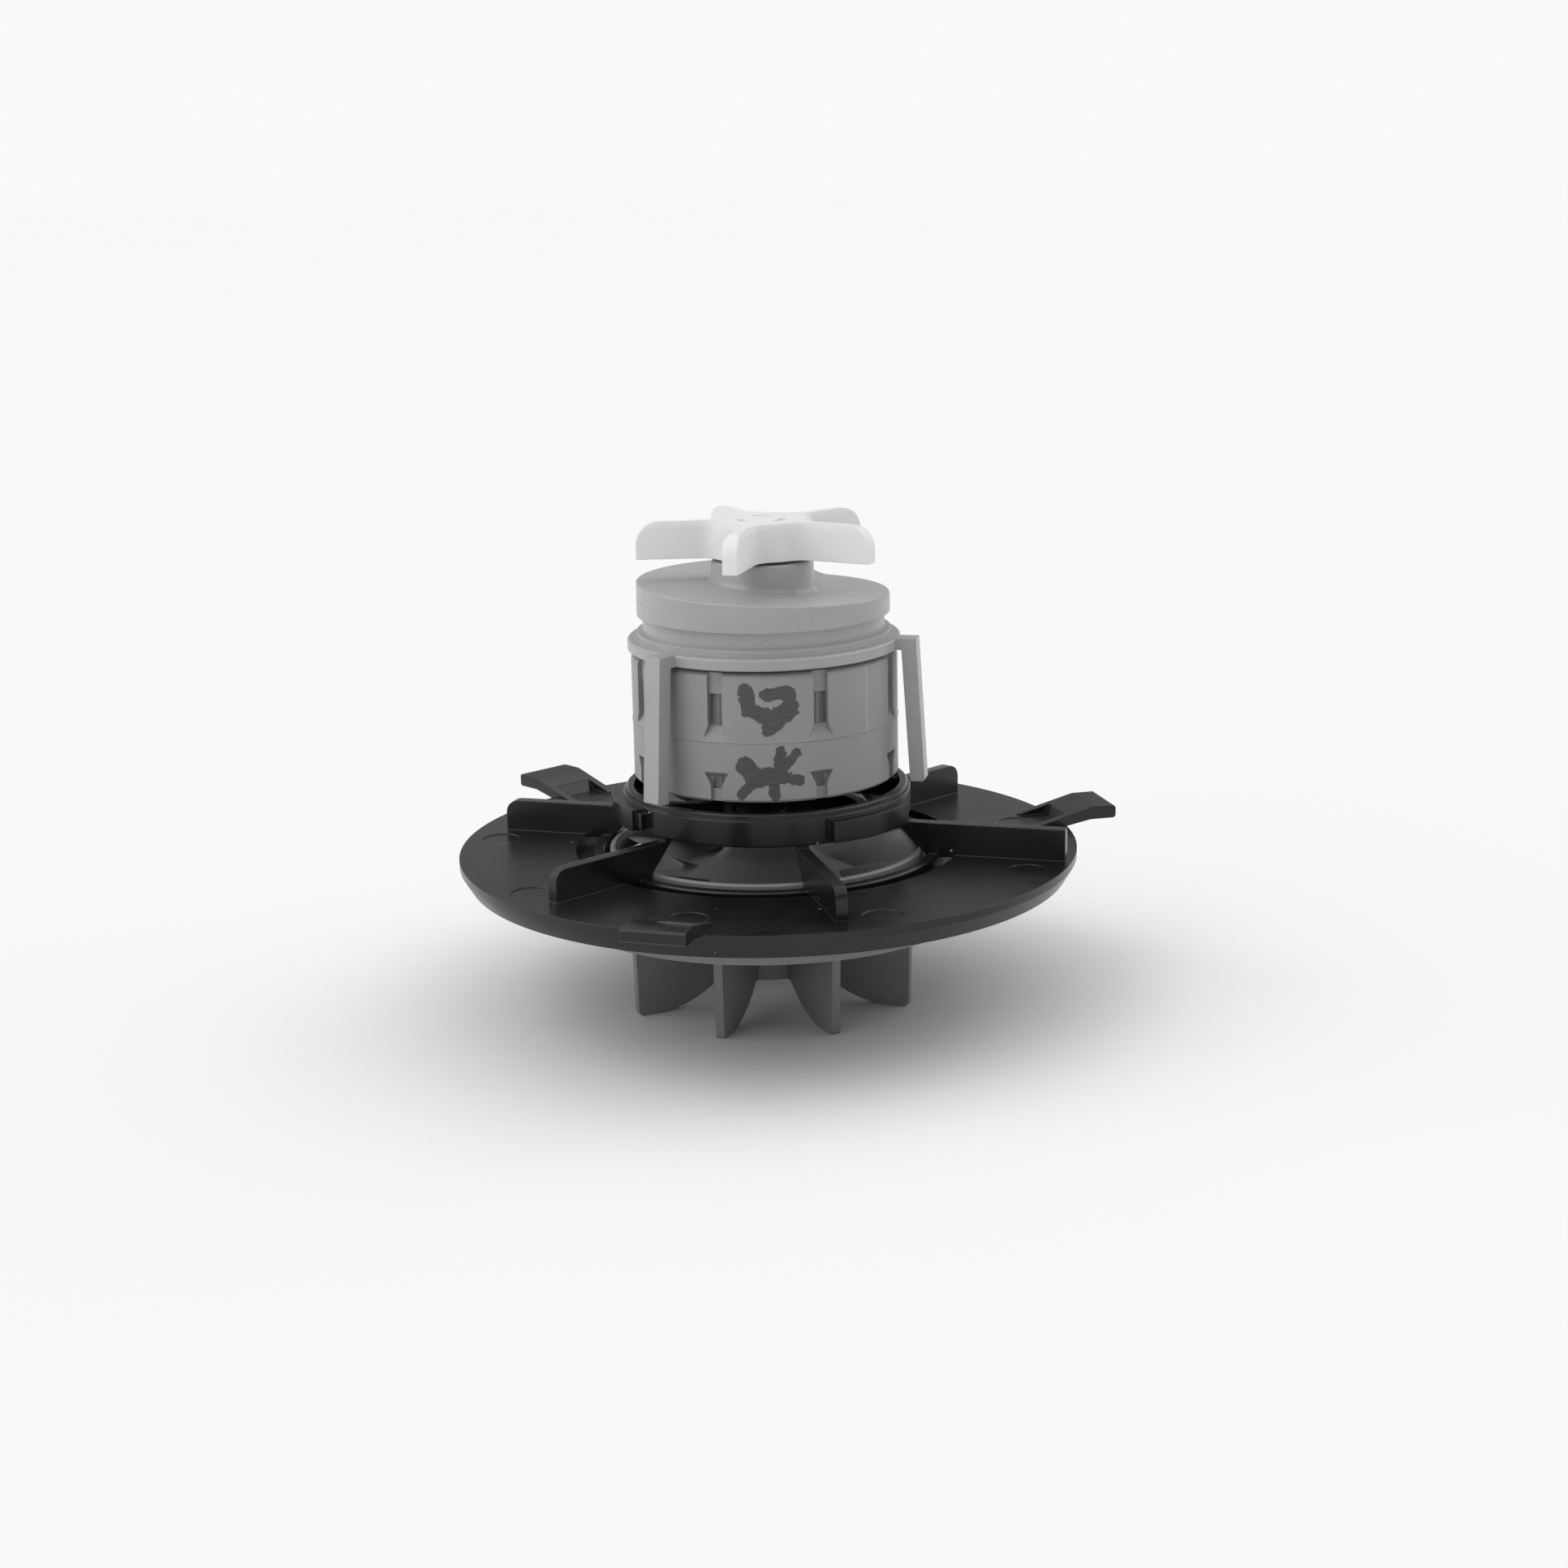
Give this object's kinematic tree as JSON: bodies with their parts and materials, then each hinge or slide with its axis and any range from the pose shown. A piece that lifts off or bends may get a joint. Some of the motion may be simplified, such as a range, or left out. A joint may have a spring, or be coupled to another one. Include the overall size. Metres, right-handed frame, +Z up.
{
  "type": "motor rotor assembly",
  "caption": "Motor rotor with a pump impeller on top, a cooling fan below, and an end carrier turning on a ball bearing at each side of the magnet rotor.",
  "frame": {"origin": "on the shaft axis, in the plane of the guide disc's top face", "axes": "+Z up along the shaft towards the pump impeller; -Y towards the viewer of the picture"},
  "size_m": [0.1348, 0.1342, 0.0985],
  "materials": {
    "shaft_steel": "ground",
    "yoke_steel": "laminated, oiled",
    "sleeve_plastic": "moulded, matt",
    "ferrite": "ground lengthwise",
    "spacer_steel": "turned",
    "bearing_steel": "ground",
    "cage_plastic": "moulded",
    "seal_rubber": "moulded",
    "impeller_plastic": "moulded, satin",
    "fan_plastic": "moulded, satin",
    "zinc_steel": "zinc plated",
    "cap_plastic": "moulded, lightly speckled",
    "spring_steel": "hardened",
    "spider_plastic": "moulded, glossy"
  },
  "bodies": {
    "rotor": {"shaft": "shaft_steel", "rotor_yoke": "yoke_steel", "rotor_sleeve": "sleeve_plastic", "magnet_1": "ferrite", "magnet_2": "ferrite", "magnet_3": "ferrite", "magnet_4": "ferrite", "magnet_5": "ferrite", "magnet_6": "ferrite", "magnet_7": "ferrite", "magnet_8": "ferrite", "upper_spacer": "spacer_steel", "lower_spacer": "spacer_steel", "upper_bearing_inner": "bearing_steel", "lower_bearing_inner": "bearing_steel", "top_impeller": "impeller_plastic", "lower_fan": "fan_plastic", "fan_washer": "zinc_steel", "fan_screw": "zinc_steel"},
    "cap": {"bearing_cap": "cap_plastic", "shaft_seal": "seal_rubber", "preload_spring": "spring_steel", "upper_bearing_outer": "bearing_steel", "upper_bearing_cage": "cage_plastic", "upper_bearing_balls": "bearing_steel", "upper_bearing_shields": "seal_rubber"},
    "spider": {"guide_spider": "spider_plastic", "lower_bearing_outer": "bearing_steel", "lower_bearing_cage": "cage_plastic", "lower_bearing_balls": "bearing_steel", "lower_bearing_shields": "seal_rubber", "bearing_circlip": "spring_steel"}
  },
  "joints": [
    {"name": "cap_spin", "type": "hinge", "parent": "rotor", "child": "cap", "pos_m": [0, 0, 0], "axis": [0, 0, 1], "continuous": true},
    {"name": "spider_spin", "type": "hinge", "parent": "rotor", "child": "spider", "pos_m": [0, 0, 0], "axis": [0, 0, 1], "continuous": true}
  ]
}
